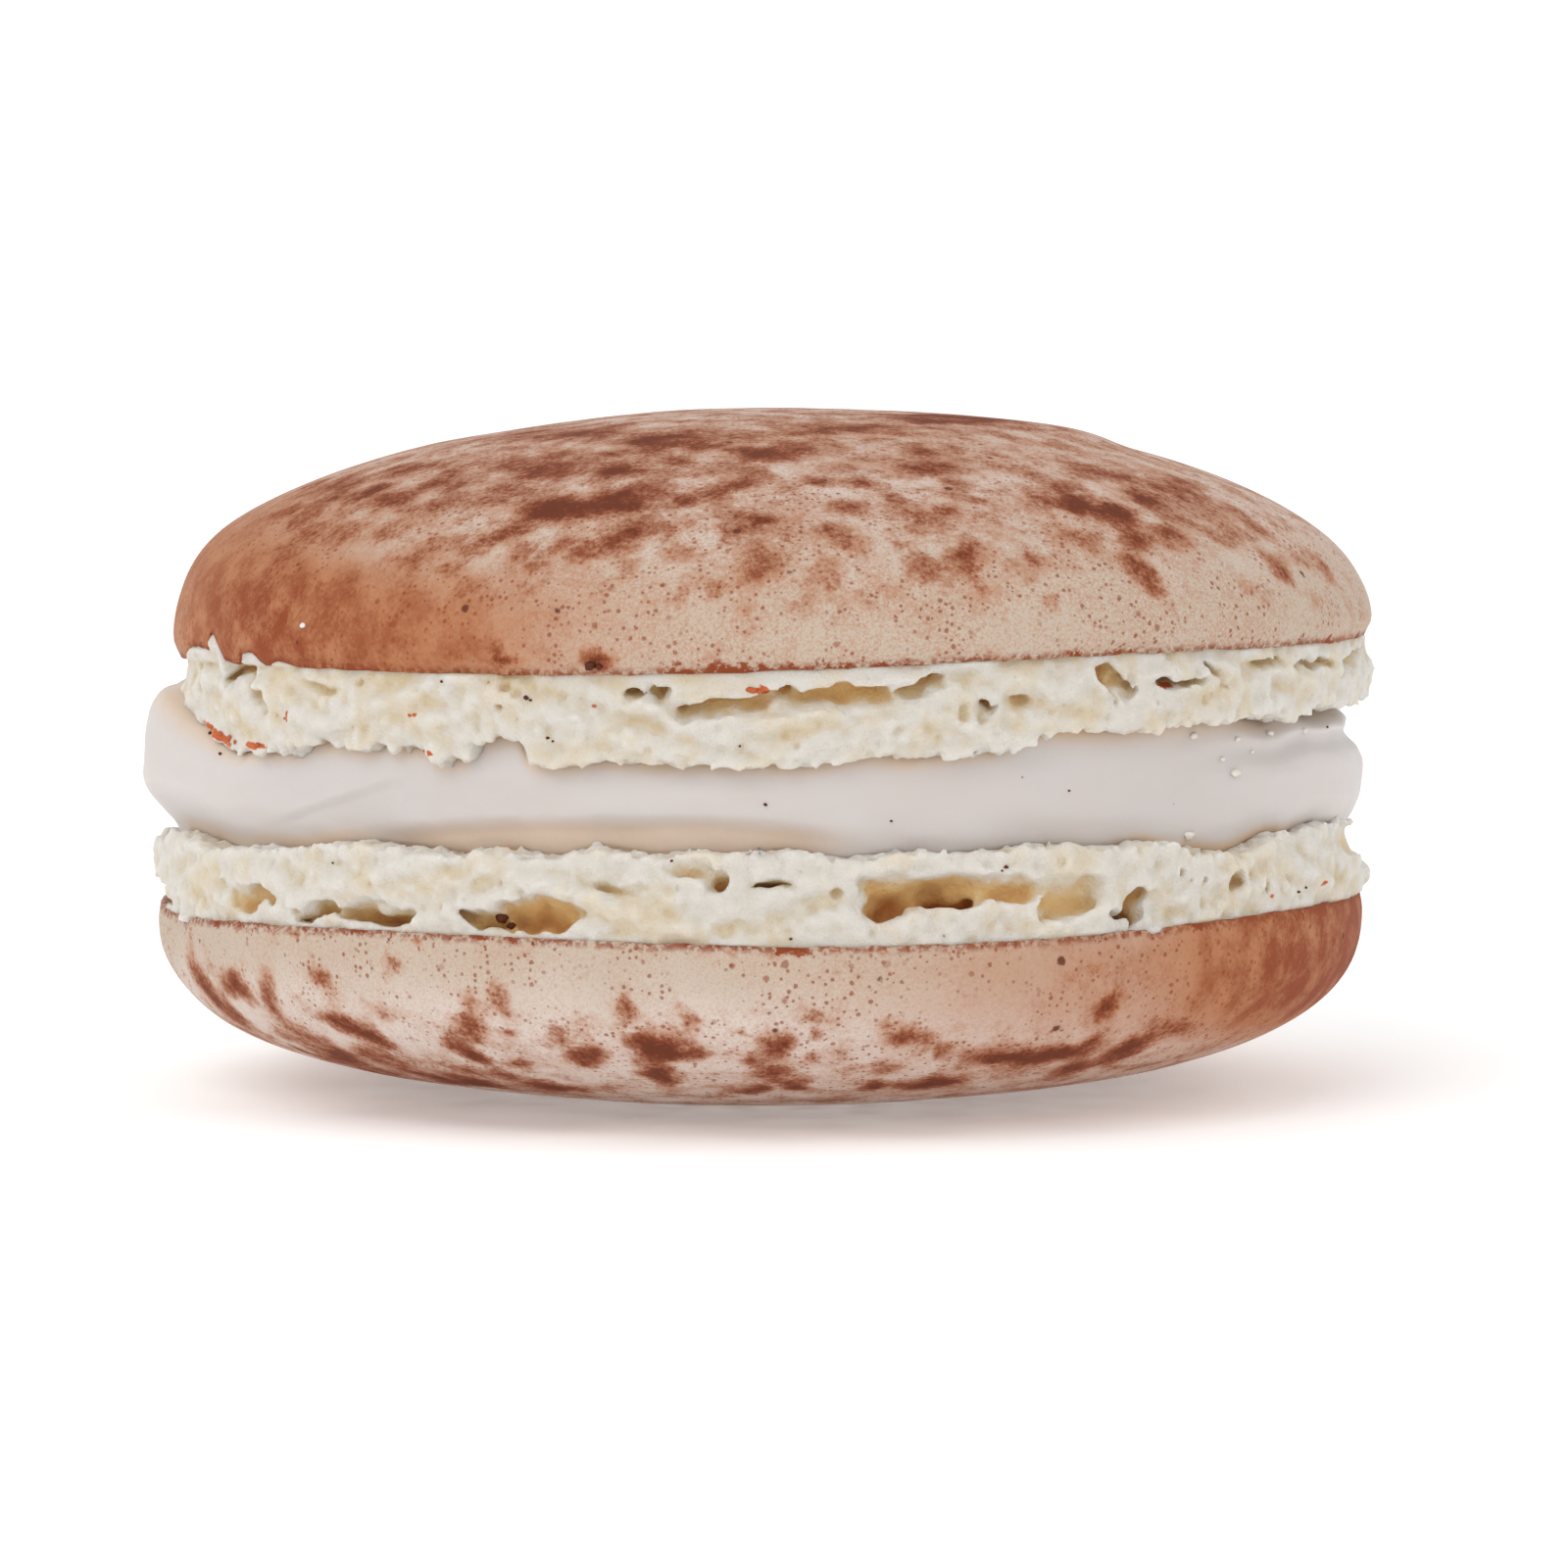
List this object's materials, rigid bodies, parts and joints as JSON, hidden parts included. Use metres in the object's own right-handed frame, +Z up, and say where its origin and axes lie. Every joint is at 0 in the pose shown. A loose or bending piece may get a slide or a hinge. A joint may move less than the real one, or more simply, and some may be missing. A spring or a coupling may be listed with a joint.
{
  "type": "french macaron",
  "caption": "Round sandwich biscuit of smooth domed shells with crumbly ragged feet, a thick soft filling squeezed out between them, and a dusting of cocoa.",
  "frame": {"origin": "centre of the bottom of the overall box, on the surface the macaron rests on", "axes": "+Z up through both shells, -Y towards the side seen in the picture, +X to the picture's right"},
  "size_m": [0.047, 0.0461, 0.0258],
  "materials": {
    "shell": "smooth baked almond meringue, warm cream dusted unevenly with reddish brown cocoa",
    "crumb": "airy off-white crumb with torn edges and tan hollows, dry and matt",
    "filling": "soft pale lilac cream, smooth with a faint satin sheen",
    "cocoa": "dark cocoa grains and lumps, dry and matt"
  },
  "bodies": {
    "root": {"shell_bottom": "shell", "filling": "filling", "shell_top": "shell"}
  },
  "joints": []
}
